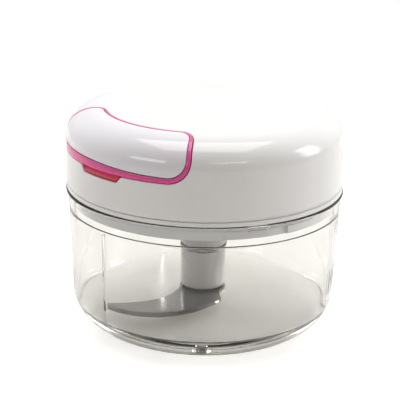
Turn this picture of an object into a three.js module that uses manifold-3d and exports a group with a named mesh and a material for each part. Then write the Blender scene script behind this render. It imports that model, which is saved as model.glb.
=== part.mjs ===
// Pull-cord food chopper: a clear bowl with a swept blade on a centre pin, under a domed lid.
// A curved handle in the lid pulls a cord off a sprung reel, and the reel spins the blade.
// Millimetres, +Z up. The origin is the centre of the bowl's foot, on the table.
// Azimuths run in degrees from the front (-Y) towards the left (-X).

import * as THREE from 'three';
import { mergeVertices } from 'three/addons/utils/BufferGeometryUtils.js';
import Module from 'manifold-3d';

const wasm = await Module();
wasm.setup();

// ---------------------------------------------------------------- driving dimensions

const GAP = 0.35;                      // clearance between separate pieces
const RAD = Math.PI / 180;
const LARGE = 48;                      // facets round the bowl and lid
const MIDDLE = 28;                     // facets round the reel, drive and hub

const bowl = {
  rimRadius: 62.5,
  cornerRadius: 60.6,                  // wall radius where the bottom corner starts
  footRadius: 43.5,
  height: 65,
  cornerHeight: 14.5,
  wall: 2.2,
  floor: 11,
  floorRadius: 55.5,
  floorCorner: 14,
  bossRadius: 5.5,                     // collar round the pin
  bossTop: 11.8,
  recessRadius: 39,
  recessDepth: 2.5,
  ribTop: 54,
  ribWidth: 1.6,
  ribRadius: 57.2,
  lugRadius: 58.7,
  lugWidth: 8.6,                       // degrees
  lugBottom: 62.4,
  lugTop: 64.4,
  lugAzimuths: [-22, 98, 218],
  ribAzimuths: [46, 160, 283],
};

const lid = {
  radius: 63.1,
  bottom: 67.75,                       // lower edge of the domed shell
  shoulder: 88.1,                      // height where the wall turns into the shoulder
  crownRadius: 44.2,
  crownEdge: 101.5,
  top: 103.4,
  power: 2.4,                          // superellipse exponent of the shoulder
  wall: 2.2,
  postRadius: 3.6,
  postCircle: 36,
  postBottom: 69.4,
  postAzimuths: [106, 226, 346],
  pilotRadius: 1.85,                   // holes for the lid screws
  headRadius: 3.4,
  axleBossRadius: 6,
  axleBossBottom: 94.5,
};

const gasket = { inner: 59.6, outer: 61.8, bottom: 65.3, top: 66.2 };

const base = {
  flangeBottom: 65.4,
  flangeTop: 67.4,
  plateBottom: 66,
  plateTop: 69,
  skirtBottom: 58.4,
  skirtInner: 56.8,
  skirtOuter: 59.4,
  trackRadius: 58.2,                   // depth of the bayonet tracks in the skirt
  trackSpan: [-36, -8],                // vertical entry track, about the first bowl lug
  slotSpan: [-50, -35.5],              // locking slot beside it
  slotBottom: 61.9,
  collarInner: 11.2,
  collarOuter: 13.2,
  collarBottom: 50,
};

const handle = {
  start: 5.6,                          // azimuth of the right end
  end: 86.4,                           // azimuth of the left end
  inner: 45.5,
  bottom: 83.6,
  innerCorner: 8,
  bottomCorner: 10,
  rimEnd: 2,                           // widths of the coloured rim left around the cover
  rimInner: 1,
  rimBottom: 2.8,
  skin: 2,
  axis: 46,                            // azimuth of the pull
  screwAzimuths: [17, 75],
  screwCircle: 54.5,
};

const scoop = {
  span: [34, 58],
  bottom: 80.6,
  corner: 2,
  cupInner: 50.9,
  cupOuter: 57.4,
  cupTop: 92.8,
  cupWall: 1.2,
};

const cord = {
  radius: 1.1,
  height: 88.3,
  leaveRadius: 20.2,                   // centre line where the cord leaves the reel
  eyeletFrom: 41.6,
  leadEnd: 44.9,                       // where the lead meets the length fixed to the handle
};

const reel = {
  bottom: 78.4,
  drumBottom: 80.2,
  drumTop: 90,
  top: 91.5,
  flange: 27,
  drum: 16,
  springRoom: 14.5,
  bore: 3.4,
  coilOuter: 18.9,
};

const ratchet = {
  teeth: 12,
  tip: 16.2,
  root: 18,
  wall: 20,
  floor: 72.2,
  top: 77.6,
  pawlPivot: 9.5,
};

const axle = { radius: 3, bottom: 69.5, top: 98.4 };

const hub = {
  radius: 10.45,
  bore: 5.85,
  nutBottom: 12.5,
  lowerBlade: 15.65,
  upperBlade: 35.45,
  bladeThickness: 1.2,
  top: 52,
  shaftRadius: 5.5,
  shaftTop: 62,
  finBottom: 53,
  finRadius: 8.1,
  finWidth: 14,                        // degrees, as are the socket's ribs
  finCount: 3,
};

const socket = { inner: 8.6, outer: 10.6, ribRadius: 6.2, bottom: 53.2, ceiling: 68.4 };

const bushing = { inner: 10.95, outer: 12.05, bottom: 60.35, top: 68.6 };

const driveWasher = { inner: 12.8, outer: 19, bottom: 69.35, top: 70.25 };

const axleWasher = { inner: 3.4, outer: 7, bottom: 93.35, top: 94.1 };

const reelCover = { inner: 3.5, outer: 22, bottom: 91.85, top: 93 };

const pin = { radius: 2.5, bottom: 4.8, top: 34 };

// ---------------------------------------------------------------- materials

const plastic = (color, roughness = 0.3) =>
  new THREE.MeshStandardMaterial({ color, roughness, metalness: 0 });
const metal = (color, roughness = 0.3) =>
  new THREE.MeshStandardMaterial({ color, roughness, metalness: 1 });

const clear = new THREE.MeshStandardMaterial({
  color: 0xeef2ef, roughness: 0.08, transparent: true, opacity: 0.35,
});
const white = plastic(0xf1f1ef);
const coverWhite = plastic(0xf0ecf2, 0.18);
const pink = plastic(0xd63f87, 0.25);
const natural = plastic(0xe4e2da, 0.5);
const seal = plastic(0xd9dbd8, 0.7);
const nylonCord = plastic(0xe8e6e0, 0.9);
const steel = metal(0xc9ccce, 0.18);
const springSteel = metal(0x8d9094, 0.35);
const screwSteel = metal(0xb2b5b8, 0.4);

// ---------------------------------------------------------------- solids

// Point at a radius and azimuth in plan.
function polar(radius, azimuth) {
  return new THREE.Vector2(-radius * Math.sin(azimuth * RAD), -radius * Math.cos(azimuth * RAD));
}

// Closed three.js geometry to a manifold solid with its faces pointing out.
function solid(geometry) {
  geometry.deleteAttribute('normal');
  geometry.deleteAttribute('uv');
  const merged = mergeVertices(geometry);
  const position = merged.attributes.position;
  const point = (i) => new THREE.Vector3().fromBufferAttribute(position, i);
  const index = merged.index.array;
  const triangles = [];
  let volume = 0;
  for (let i = 0; i < index.length; i += 3) {
    const [a, b, c] = index.slice(i, i + 3);
    if (a === b || b === c || c === a) continue;
    volume += point(a).dot(point(b).cross(point(c)));
    triangles.push(a, b, c);
  }
  if (volume < 0) triangles.reverse();
  return new wasm.Manifold(new wasm.Mesh({
    numProp: 3,
    vertProperties: Float32Array.from(position.array),
    triVerts: Uint32Array.from(triangles),
  }));
}

// Profile of [radius, height] points turned about the Z axis. A profile that doesn't start
// and end on the axis is closed on itself.
function turned(profile, segments = 32) {
  const points = profile.map(([r, z]) => new THREE.Vector2(r, z));
  if (profile[0][0] > 0) points.push(points[0].clone());
  return solid(new THREE.LatheGeometry(points, segments).rotateX(Math.PI / 2));
}

function ring(inner, outer, bottom, top, segments = 32) {
  if (inner === 0) return turned([[0, bottom], [outer, bottom], [outer, top], [0, top]], segments);
  return turned([[inner, bottom], [outer, bottom], [outer, top], [inner, top]], segments);
}

function washer({ inner, outer, bottom, top }, segments) {
  return ring(inner, outer, bottom, top, segments);
}

function extruded(shape, bottom, top, curveSegments = 8) {
  const settings = { depth: top - bottom, bevelEnabled: false, curveSegments };
  return solid(new THREE.ExtrudeGeometry(shape, settings).translate(0, 0, bottom));
}

// Annular sector between two radii and two azimuths.
function sector(inner, outer, from, to, bottom, top, steps = 6) {
  const shape = new THREE.Shape();
  const azimuth = (i) => from + (to - from) * i / steps;
  const arc = (radius, order) => order.map((i) => polar(radius, azimuth(i)));
  const up = [...Array(steps + 1).keys()];
  shape.setFromPoints([...arc(outer, up), ...arc(inner, up.toReversed())]);
  return extruded(shape, bottom, top);
}

// How far an edge has risen at a distance from where its rounded corner starts.
function cornerRise(radius, distance) {
  if (radius <= 0 || distance >= radius) return 0;
  return radius - Math.sqrt(radius ** 2 - (radius - distance) ** 2);
}

// Sector-shaped block open to the outside and the top, with its inner corners rounded in
// plan and its bottom corners rounded as seen from outside.
function block({ start, end, inner, bottom, innerCorner = 0, bottomCorner = 0, top = 110, outer = 72 }) {
  const length = (end - start) * RAD * lid.radius;
  const corner = Math.max(innerCorner, bottomCorner);
  const rounded = [...Array(6).keys()].map((i) => corner * (1 - Math.cos(i * 18 * RAD)));
  const middle = [1, 2, 3, 4, 5].map((i) => corner + (length - 2 * corner) * i / 6);
  const stations = [...rounded, ...middle, ...rounded.toReversed().map((d) => length - d)];
  const distances = stations.filter((d, i) => i === 0 || d - stations[i - 1] > 0.01);
  const vertices = distances.flatMap((d) => {
    const azimuth = start + d / (RAD * lid.radius);
    const nearest = Math.min(d, length - d);
    const r = inner + cornerRise(innerCorner, nearest);
    const z = bottom + cornerRise(bottomCorner, nearest);
    const [a, b] = [polar(r, azimuth), polar(outer, azimuth)];
    return [a.x, a.y, z, b.x, b.y, z, b.x, b.y, top, a.x, a.y, top];
  });
  const faces = [0, 1, 2, 0, 2, 3];
  for (let s = 0; s < distances.length - 1; s++) {
    for (let k = 0; k < 4; k++) {
      const [a, b] = [4 * s + k, 4 * s + (k + 1) % 4];
      faces.push(a, a + 4, b, b, a + 4, b + 4);
    }
  }
  const last = 4 * (distances.length - 1);
  faces.push(last, last + 2, last + 1, last, last + 3, last + 2);
  const geometry = new THREE.BufferGeometry();
  geometry.setAttribute('position', new THREE.Float32BufferAttribute(vertices, 3));
  geometry.setIndex(faces);
  return solid(geometry);
}

// Cylinder standing at a radius and azimuth.
function post(radius, circle, azimuth, bottom, top, segments = 16) {
  const place = polar(circle, azimuth);
  return ring(0, radius, bottom, top, segments).translate([place.x, place.y, 0]);
}

// Solid turned about local Z, laid along the pull direction with z = 0 at the given radius.
function alongPull(body, radius, height) {
  const place = polar(radius, handle.axis);
  return body.rotate([0, 90, 0])
    .rotate([0, 0, 270 - handle.axis])
    .translate([place.x, place.y, height]);
}

function union(bodies) {
  return bodies.reduce((sum, body) => sum.add(body));
}

const group = new THREE.Group();

function addNode(name, body, material) {
  const { vertProperties, triVerts } = body.getMesh();
  const geometry = new THREE.BufferGeometry();
  geometry.setAttribute('position', new THREE.BufferAttribute(vertProperties, 3));
  geometry.setIndex(new THREE.BufferAttribute(triVerts, 1));
  geometry.computeVertexNormals();
  const mesh = new THREE.Mesh(geometry, material);
  mesh.name = name;
  group.add(mesh);
  return mesh;
}

// ---------------------------------------------------------------- bowl

// Quarter ellipse from [r0, z0], leaving level, to [r1, z1], arriving upright.
function quarter(r0, z0, r1, z1, steps) {
  return [...Array(steps + 1).keys()].map((i) => {
    const t = i / steps * Math.PI / 2;
    return [r0 + (r1 - r0) * Math.sin(t), z0 + (z1 - z0) * (1 - Math.cos(t))];
  });
}

function bowlBody() {
  const outside = turned([
    [0, 0], ...quarter(bowl.footRadius, 0, bowl.cornerRadius, bowl.cornerHeight, 7),
    [bowl.rimRadius, bowl.height - 0.6], [bowl.rimRadius - 0.5, bowl.height], [0, bowl.height],
  ], LARGE);
  const inner = bowl.rimRadius - bowl.wall;
  const hollow = turned([
    [0, bowl.floor],
    ...quarter(bowl.floorRadius, bowl.floor, bowl.cornerRadius - bowl.wall, bowl.floorCorner, 4),
    [inner, bowl.height - 0.5], [inner + 0.5, bowl.height + 1], [0, bowl.height + 1],
  ], LARGE);
  const ribs = bowl.ribAzimuths.map((azimuth) => {
    const half = bowl.ribWidth / 2 / bowl.ribRadius / RAD;
    return sector(bowl.ribRadius, 70, azimuth - half, azimuth + half, 1, bowl.ribTop, 1);
  });
  const lugs = bowl.lugAzimuths.map((azimuth) => sector(bowl.lugRadius, 70,
    azimuth - bowl.lugWidth / 2, azimuth + bowl.lugWidth / 2, bowl.lugBottom, bowl.lugTop, 2));
  const boss = ring(0, bowl.bossRadius, 0, bowl.bossTop, 24);
  const pinHole = ring(0, pin.radius + GAP, pin.bottom - GAP, bowl.bossTop + 1, 24);
  const recess = ring(0, bowl.recessRadius, -1, bowl.recessDepth, LARGE);
  return outside.subtract(hollow.subtract(union([...ribs, ...lugs, boss])))
    .subtract(pinHole)
    .subtract(recess);
}

addNode('bowl', bowlBody(), clear);
addNode('spindle_pin', turned([
  [0, pin.bottom], [pin.radius, pin.bottom], [pin.radius, pin.top - 1],
  [pin.radius - 1, pin.top], [0, pin.top],
], 24), steel);

// ---------------------------------------------------------------- lid

// Outline of the dome from its crown to its lower edge, inset by a wall thickness.
function domeProfile(inset, bottom) {
  const crownHeight = lid.top - inset;
  const edgeHeight = lid.crownEdge - inset;
  const crown = [0, 1, 2].map((i) => {
    const share = i / 3;
    return [share * lid.crownRadius, crownHeight - (crownHeight - edgeHeight) * share ** 2];
  });
  const shoulder = [...Array(8).keys()].map((i) => {
    const t = i / 7 * Math.PI / 2;
    const out = Math.sin(t) ** (2 / lid.power);
    const up = Math.cos(t) ** (2 / lid.power);
    return [
      lid.crownRadius + (lid.radius - inset - lid.crownRadius) * out,
      lid.shoulder + (edgeHeight - lid.shoulder) * up,
    ];
  });
  return [...crown, ...shoulder, [lid.radius - inset, bottom], [0, bottom]];
}

function dome(inset, bottom) {
  return turned(domeProfile(inset, bottom), LARGE);
}

// The handle's block, shrunk by the given widths at its ends, inner edge and bottom.
function handleBlock(ends, inner, bottom) {
  const turn = ends / lid.radius / RAD;
  return block({
    start: handle.start + turn,
    end: handle.end - turn,
    inner: handle.inner + inner,
    bottom: handle.bottom + bottom,
    innerCorner: handle.innerCorner - ends,
    bottomCorner: handle.bottomCorner - ends,
  });
}

// Finger scoop under the handle, grown by a width on every side.
function scoopBlock(grow) {
  const turn = grow / lid.radius / RAD;
  return block({
    start: scoop.span[0] - turn,
    end: scoop.span[1] + turn,
    inner: scoop.cupInner - scoop.cupWall - GAP - grow,
    bottom: scoop.bottom - grow,
    bottomCorner: scoop.corner,
    top: handle.bottom + 1,
  });
}

function lidShell() {
  const pocket = handleBlock(-GAP, -GAP, -GAP).add(scoopBlock(0));
  const liner = handleBlock(-GAP - 2, -GAP - 2, -GAP - 2).add(scoopBlock(2));
  const room = dome(lid.wall, lid.bottom - 1);
  const posts = lid.postAzimuths.map((azimuth) =>
    post(lid.postRadius, lid.postCircle, azimuth, lid.postBottom, lid.top));
  const axleBoss = ring(0, lid.axleBossRadius, lid.axleBossBottom, lid.top, 24);
  const pilots = lid.postAzimuths.map((azimuth) =>
    post(lid.pilotRadius, lid.postCircle, azimuth, lid.postBottom - 1, 84, 12));
  const axleHole = ring(0, axle.radius + GAP, 94, axle.top + GAP, 24);
  const eyeletHole = alongPull(ring(0, 2.95, 0, 8, 16), 40, cord.height);
  return dome(0, lid.bottom)
    .subtract(room.subtract(union([liner, ...posts, axleBoss])))
    .subtract(union([pocket, ...pilots, axleHole, eyeletHole]));
}

function lidBase() {
  const body = turned([
    [base.collarInner, base.collarBottom], [base.collarOuter, base.collarBottom],
    [base.collarOuter, base.plateBottom], [base.skirtInner, base.plateBottom],
    [base.skirtInner, base.skirtBottom], [base.skirtOuter, base.skirtBottom],
    [base.skirtOuter, 66.5], [62.2, 66.5], [62.2, base.flangeBottom],
    [lid.radius, base.flangeBottom], [lid.radius, base.flangeTop],
    [60.5, base.flangeTop], [60.5, base.plateTop],
    [12.4, base.plateTop], [12.4, 60], [base.collarInner, 60],
  ], LARGE);
  const turns = [0, 120, 240];
  const tracks = turns.map((turn) => sector(base.trackRadius, 61,
    base.trackSpan[0] + turn, base.trackSpan[1] + turn, 50, 66.5));
  const slots = turns.map((turn) => sector(base.trackRadius, 61,
    base.slotSpan[0] + turn, base.slotSpan[1] + turn, base.slotBottom, 66.5, 3));
  const screwHoles = lid.postAzimuths.flatMap((azimuth) => [
    post(lid.pilotRadius, lid.postCircle, azimuth, 60, 72, 12),
    post(lid.headRadius, lid.postCircle, azimuth, 60, base.flangeTop, 12),
  ]);
  return body.subtract(union([...tracks, ...slots, ...screwHoles]));
}

// Pan-head screw pointing up, its head's underside at the given height.
function screw(headRadius, headHeight, shankRadius, shankLength, circle, azimuth, seat) {
  return post(headRadius, circle, azimuth, seat - headHeight, seat, 12)
    .add(post(shankRadius, circle, azimuth, seat - 0.5, seat + shankLength, 12));
}

addNode('lid_gasket', washer(gasket, 40), seal);
addNode('lid_shell', lidShell(), white);
addNode('lid_base', lidBase(), white);
lid.postAzimuths.forEach((azimuth, i) => {
  addNode(`lid_screw_${i + 1}`, screw(3, 1.4, 1.45, 14, lid.postCircle, azimuth, 67.1), screwSteel);
});

// ---------------------------------------------------------------- drive in the lid

// Point at a radius and a counter-clockwise angle from +X.
function counterPoint(radius, angle) {
  return new THREE.Vector2(radius * Math.cos(angle * RAD), radius * Math.sin(angle * RAD));
}

// Saw-tooth hollow, deepest just before each step, that the pawls push against.
function toothedHollow() {
  const pitch = 360 / ratchet.teeth;
  const points = [...Array(ratchet.teeth).keys()].flatMap((i) => [
    counterPoint(ratchet.tip, pitch * i),
    counterPoint(ratchet.root, pitch * (i + 1) - 0.5),
  ]);
  return extruded(new THREE.Shape(points), ratchet.floor, ratchet.top + 1);
}

// Evenly spaced drive ribs or fins about the axis.
function fins(inner, outer, firstAngle, bottom, top) {
  return union([...Array(hub.finCount).keys()].map((i) => {
    const middle = firstAngle + i * 360 / hub.finCount;
    return sector(inner, outer, middle - hub.finWidth / 2, middle + hub.finWidth / 2, bottom, top, 2);
  }));
}

function driveHub() {
  const body = turned([
    [socket.inner, socket.bottom], [socket.outer, socket.bottom], [socket.outer, 70.6],
    [ratchet.wall, 70.6], [ratchet.wall, ratchet.top], [14, ratchet.top], [14, ratchet.floor],
    [axle.radius + GAP, ratchet.floor], [axle.radius + GAP, socket.ceiling],
    [socket.inner, socket.ceiling],
  ], MIDDLE);
  const ribs = fins(socket.ribRadius, socket.inner + 0.8, 60, socket.bottom, socket.ceiling + 0.5);
  return body.subtract(toothedHollow()).add(ribs);
}

// Pawl for the pivot on +X, its tip against a ratchet step.
function pawlBody() {
  const tipAngle = 53.5;                // far enough from the step to swing past it
  const shape = new THREE.Shape();
  shape.absarc(ratchet.pawlPivot, 0, 2.8, Math.PI, 2 * Math.PI, false);
  shape.lineTo(ratchet.pawlPivot + 2.8, 2);
  const [outer, inner] = [counterPoint(16.8, tipAngle), counterPoint(14.8, tipAngle)];
  shape.lineTo(outer.x, outer.y);
  shape.lineTo(inner.x, inner.y);
  shape.lineTo(ratchet.pawlPivot - 2.8, 1);
  const hole = ring(0, 1.85, 70, 80, 16).translate([ratchet.pawlPivot, 0, 0]);
  return extruded(shape, ratchet.floor + 0.6, ratchet.top, 6).subtract(hole);
}

function reelBody() {
  const body = turned([
    [reel.bore, reel.bottom], [reel.flange, reel.bottom], [reel.flange, reel.drumBottom],
    [reel.drum, reel.drumBottom], [reel.drum, reel.drumTop], [reel.flange, reel.drumTop],
    [reel.flange, reel.top], [reel.springRoom, reel.top], [reel.springRoom, reel.drumBottom],
    [reel.bore, reel.drumBottom],
  ], MIDDLE);
  const pawlPins = [1, -1].map((side) =>
    ring(0, 1.5, ratchet.floor + 0.8, reel.bottom + 1, 16).translate([side * ratchet.pawlPivot, 0, 0]));
  return body.add(union(pawlPins));
}

// Flat spiral band from the axle to the inside of the drum.
function springBody() {
  const [inner, outer, turns, thickness] = [4.2, 13.6, 4.5, 0.6];
  const steps = 60;
  const spiral = (i, side) => {
    const radius = inner + (outer - inner) * i / steps + side * thickness / 2;
    return counterPoint(radius, 360 * turns * i / steps);
  };
  const order = [...Array(steps + 1).keys()];
  const points = [
    ...order.map((i) => spiral(i, 1)),
    ...order.toReversed().map((i) => spiral(i, -1)),
  ];
  return extruded(new THREE.Shape(points), reel.drumBottom + 0.6, reel.drumTop - 0.4);
}

// Round cord through a list of points, with flat ends.
function cordBody(points, steps) {
  const section = new THREE.Shape().absarc(0, 0, cord.radius, 0, 2 * Math.PI, false);
  const path = new THREE.CatmullRomCurve3(points.map((p) => new THREE.Vector3(p.x, p.y, cord.height)));
  return solid(new THREE.ExtrudeGeometry(section, { steps, curveSegments: 4, extrudePath: path }));
}

function cordLead() {
  const swing = Math.acos(cord.leaveRadius / (cord.eyeletFrom - 1)) / RAD;
  const [from, to] = [cord.leaveRadius, cord.eyeletFrom - 1];
  const tangent = polar(from, handle.axis + swing);
  const mouth = polar(to, handle.axis);
  const points = [0, 0.33, 0.66].map((t) => tangent.clone().lerp(mouth, t));
  return cordBody([...points, polar(to + 0.2, handle.axis), polar(cord.leadEnd, handle.axis)], 12);
}

addNode('drive_bushing', washer(bushing, MIDDLE), natural);
addNode('drive_washer', washer(driveWasher, MIDDLE), steel);
addNode('drive_hub', driveHub(), natural);
addNode('pawl_1', pawlBody(), steel);
addNode('pawl_2', pawlBody().rotate([0, 0, 180]), steel);
addNode('reel', reelBody(), natural);
addNode('reel_cover', washer(reelCover, MIDDLE), natural);
addNode('power_spring', springBody(), springSteel);
addNode('reel_axle', ring(0, axle.radius, axle.bottom, axle.top, 24), steel);
addNode('axle_washer', washer(axleWasher, 24), steel);
addNode('cord_coil', ring(reel.drum + 0.3, reel.coilOuter, 80.6, 89.6, MIDDLE), nylonCord);
addNode('cord_lead', cordLead(), nylonCord);
addNode('cord_eyelet', alongPull(turned([
  [1.65, 0], [4, 0], [4, 1.2], [2.6, 1.2], [2.6, 3.4], [1.65, 3.4],
], 20), cord.eyeletFrom, cord.height), springSteel);

// ---------------------------------------------------------------- pull handle

// Room for the fingers behind the front of the handle.
function fingerCup(grow, top) {
  const turn = grow / lid.radius / RAD;
  return sector(scoop.cupInner - grow, scoop.cupOuter + grow,
    scoop.span[0] + 2.5 - turn, scoop.span[1] - 2.5 + turn, scoop.bottom + 0.5, top, 4);
}

function handleScrewHoles(radius, bottom, top) {
  return union(handle.screwAzimuths.map((azimuth) =>
    post(radius, handle.screwCircle, azimuth, bottom, top, 12)));
}

const coverBottom = handle.bottom + handle.rimBottom;

function coverVolume(grow) {
  return handleBlock(handle.rimEnd - grow, handle.rimInner - grow, handle.rimBottom - grow);
}

function handleGrip() {
  const tray = handleBlock(0, 0, 0).intersect(dome(0, 70)).subtract(coverVolume(GAP));
  const cup = fingerCup(scoop.cupWall, scoop.cupTop + scoop.cupWall);
  const front = sector(scoop.cupOuter - 1, 72, 20, 72, scoop.bottom, handle.bottom);
  const cordHole = alongPull(ring(0, 1.5, 0, 4, 12), 44, cord.height);
  return tray.add(cup.subtract(front))
    .subtract(fingerCup(0, scoop.cupTop))
    .subtract(handleScrewHoles(1.8, 83, 90))
    .subtract(handleScrewHoles(2.9, 83, 84.8))
    .subtract(cordHole);
}

function handleCover() {
  const outside = coverVolume(0).intersect(dome(0, 70));
  const hollow = handleBlock(handle.rimEnd + handle.skin, -3, -3)
    .intersect(dome(handle.skin, 70));
  const bosses = handleScrewHoles(3.2, coverBottom, 110);
  return outside.subtract(hollow.subtract(bosses))
    .subtract(handleScrewHoles(1.6, 80, 93.5));
}

addNode('handle_grip', handleGrip(), pink);
addNode('handle_cover', handleCover(), coverWhite);
handle.screwAzimuths.forEach((azimuth, i) => {
  addNode(`handle_screw_${i + 1}`, screw(2.5, 1, 1.25, 8, handle.screwCircle, azimuth, 84.5), screwSteel);
});
addNode('cord_end', cordBody([45.3, 46.2, 47.2, 48.2].map((r) => polar(r, handle.axis)), 4), nylonCord);
addNode('cord_anchor', alongPull(ring(0, 1.9, 0, 1, 16), 48.5, cord.height), natural);

// ---------------------------------------------------------------- blades

// Swept sickle blade about the hub, its tip to the front left.
function bladeBody(bottom) {
  const shape = new THREE.Shape();
  const root = hub.radius + 0.4;
  const rootAngle = -42 * RAD;          // where the heel's notch meets the hub
  shape.moveTo(-43.5, -31);
  shape.bezierCurveTo(-31, -46, -8, -46, 7.7, -22.6);
  shape.quadraticCurveTo(9.6, -19.5, 8.2, -17);
  shape.lineTo(root * Math.cos(rootAngle), root * Math.sin(rootAngle));
  shape.absarc(0, 0, root, rootAngle, Math.PI, false);
  shape.quadraticCurveTo(-11, -12.5, -20, -21.5);
  shape.quadraticCurveTo(-26.5, -28, -43.5, -28.5);
  const hole = ring(0, hub.bore, 0, 60, 24);
  return extruded(shape, bottom, bottom + hub.bladeThickness, 8).subtract(hole);
}

function bladeShaft() {
  const sleeve = turned([
    [0, pin.top + 2], [pin.radius + GAP, pin.top + 2], [pin.radius + GAP, hub.nutBottom + 0.3],
    [hub.shaftRadius, hub.nutBottom + 0.3], [hub.shaftRadius, hub.shaftTop - 0.6],
    [hub.shaftRadius - 0.6, hub.shaftTop], [0, hub.shaftTop],
  ], 24);
  return sleeve.add(fins(3, hub.finRadius, 0, hub.finBottom, hub.shaftTop - 1));
}

const spacerBottom = hub.lowerBlade + hub.bladeThickness + GAP;
const upperBottom = hub.upperBlade + hub.bladeThickness + GAP;
addNode('blade_shaft', bladeShaft(), natural);
addNode('hub_nut', ring(hub.bore, hub.radius, hub.nutBottom, hub.lowerBlade - GAP, MIDDLE), white);
addNode('blade_lower', bladeBody(hub.lowerBlade), steel);
addNode('hub_spacer', ring(hub.bore, hub.radius, spacerBottom, hub.upperBlade - GAP, MIDDLE), white);
addNode('blade_upper', bladeBody(hub.upperBlade).rotate([0, 0, 180]), steel);
addNode('hub_upper', ring(hub.bore, hub.radius, upperBottom, hub.top, MIDDLE), white);

export default group;
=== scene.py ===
"""Looks of the hand-pulled food chopper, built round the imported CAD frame.

Lengths are worked in millimetres and turned into metres when a mesh is made.
Azimuths run in degrees from the front (-Y) towards the left (-X), as in the CAD source.
"""

import math

import bmesh
import bpy
import numpy as np
from mathutils import Matrix, Vector


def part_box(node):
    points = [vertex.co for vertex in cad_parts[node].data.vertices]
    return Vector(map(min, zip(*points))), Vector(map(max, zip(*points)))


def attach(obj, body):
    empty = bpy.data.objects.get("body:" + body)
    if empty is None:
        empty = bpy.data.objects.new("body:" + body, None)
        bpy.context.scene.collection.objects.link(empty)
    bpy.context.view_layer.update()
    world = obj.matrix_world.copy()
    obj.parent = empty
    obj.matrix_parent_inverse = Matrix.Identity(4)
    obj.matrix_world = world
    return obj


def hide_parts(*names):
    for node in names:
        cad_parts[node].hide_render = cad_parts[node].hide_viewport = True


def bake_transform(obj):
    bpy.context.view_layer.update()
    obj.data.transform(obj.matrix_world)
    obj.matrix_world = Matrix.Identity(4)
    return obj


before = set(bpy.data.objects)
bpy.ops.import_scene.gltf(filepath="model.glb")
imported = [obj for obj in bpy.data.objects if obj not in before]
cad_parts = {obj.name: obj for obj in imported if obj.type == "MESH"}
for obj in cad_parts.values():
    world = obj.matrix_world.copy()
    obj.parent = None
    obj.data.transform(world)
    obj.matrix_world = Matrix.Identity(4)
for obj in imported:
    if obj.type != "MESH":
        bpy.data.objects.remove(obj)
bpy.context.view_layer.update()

MM = 0.001
GAP = 0.35  # clearance between separate pieces, in millimetres


def cad_box(node):
    """A node's lowest and highest corners in millimetres."""
    low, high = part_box(node)
    return np.array(low) / MM, np.array(high) / MM


# ------------------------------------------------------------ sizes, from the frame

BOWL_TOP = cad_box("bowl")[1][2]
RIM_RADIUS = cad_box("bowl")[1][0]
LID_RADIUS = cad_box("lid_shell")[1][0]
LID_TOP = cad_box("lid_shell")[1][2]
SHELL_BOTTOM = cad_box("lid_shell")[0][2]
FLANGE_TOP = SHELL_BOTTOM - GAP
SKIRT_BOTTOM = 58.4
HUB_RADIUS = cad_box("hub_spacer")[1][0]
LOWER_BLADE = cad_box("blade_lower")[0][2]
UPPER_BLADE = cad_box("blade_upper")[0][2]
GRIP_BOTTOM = 83.6
PULL_AXIS = 46.0
CORD_HEIGHT = (cad_box("cord_end")[0][2] + cad_box("cord_end")[1][2]) / 2
CORD_RADIUS = (cad_box("cord_end")[1][2] - cad_box("cord_end")[0][2]) / 2


# ------------------------------------------------------------ mesh helpers


def polar(radius, azimuth, height=0.0):
    """Point in space at a radius, azimuth and height."""
    a = math.radians(azimuth)
    return (-radius * math.sin(a), -radius * math.cos(a), height)


def smoothstep(value, low, high):
    t = min(1.0, max(0.0, (value - low) / (high - low)))
    return t * t * (3 - 2 * t)


def piece(name, points, faces, material, sharp=32, outward=True):
    """A named mesh object from points in millimetres."""
    mesh = bpy.data.meshes.new(name)
    mesh.from_pydata([tuple(c * MM for c in p) for p in points], [], faces)
    work = bmesh.new()
    work.from_mesh(mesh)
    bmesh.ops.remove_doubles(work, verts=work.verts, dist=1e-7)
    bmesh.ops.dissolve_degenerate(work, edges=work.edges, dist=1e-7)
    if outward:
        bmesh.ops.recalc_face_normals(work, faces=work.faces)
    work.to_mesh(mesh)
    work.free()
    mesh.shade_smooth()
    mesh.set_sharp_from_angle(angle=math.radians(sharp))
    mesh.materials.append(material)
    made = bpy.data.objects.new(name, mesh)
    bpy.context.scene.collection.objects.link(made)
    return made


def stand_for(made, body, slot, *nodes):
    """The piece rides on a body and replaces CAD nodes; the slot is not used."""
    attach(made, body)
    if nodes:
        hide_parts(*nodes)
    return made


def rounded(corners, steps=5, closed=False):
    """Profile with its corners filleted. A corner is (radius, height) or (radius, height, fillet)."""
    made = []
    count = len(corners)
    for i, corner in enumerate(corners):
        fillet = corner[2] if len(corner) > 2 else 0
        here = Vector(corner[:2])
        if not fillet or (not closed and i in (0, count - 1)):
            made.append(tuple(here))
            continue
        before = Vector(corners[i - 1][:2]) - here
        after = Vector(corners[(i + 1) % count][:2]) - here
        half = before.angle(after) / 2
        reach = min(fillet / math.tan(half), 0.49 * before.length, 0.49 * after.length)
        a, b = before.normalized(), after.normalized()
        centre = here + (a + b).normalized() * reach / math.cos(half)
        start, end = here + a * reach, here + b * reach
        radius = reach * math.tan(half)
        for k in range(steps + 1):
            mix = (start - centre).lerp(end - centre, k / steps)
            made.append(tuple(centre + mix.normalized() * radius))
    return made


def even_columns(count):
    return [360 * i / count for i in range(count)]


def columns_with(count, *extra):
    """Even azimuths, plus closer ones where a feature's edges are."""
    wanted = sorted({round(a % 360, 3) for group in extra for a in group})
    even = [a for a in even_columns(count) if all(abs(a - w) > 0.35 for w in wanted)]
    return sorted(even + wanted)


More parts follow.
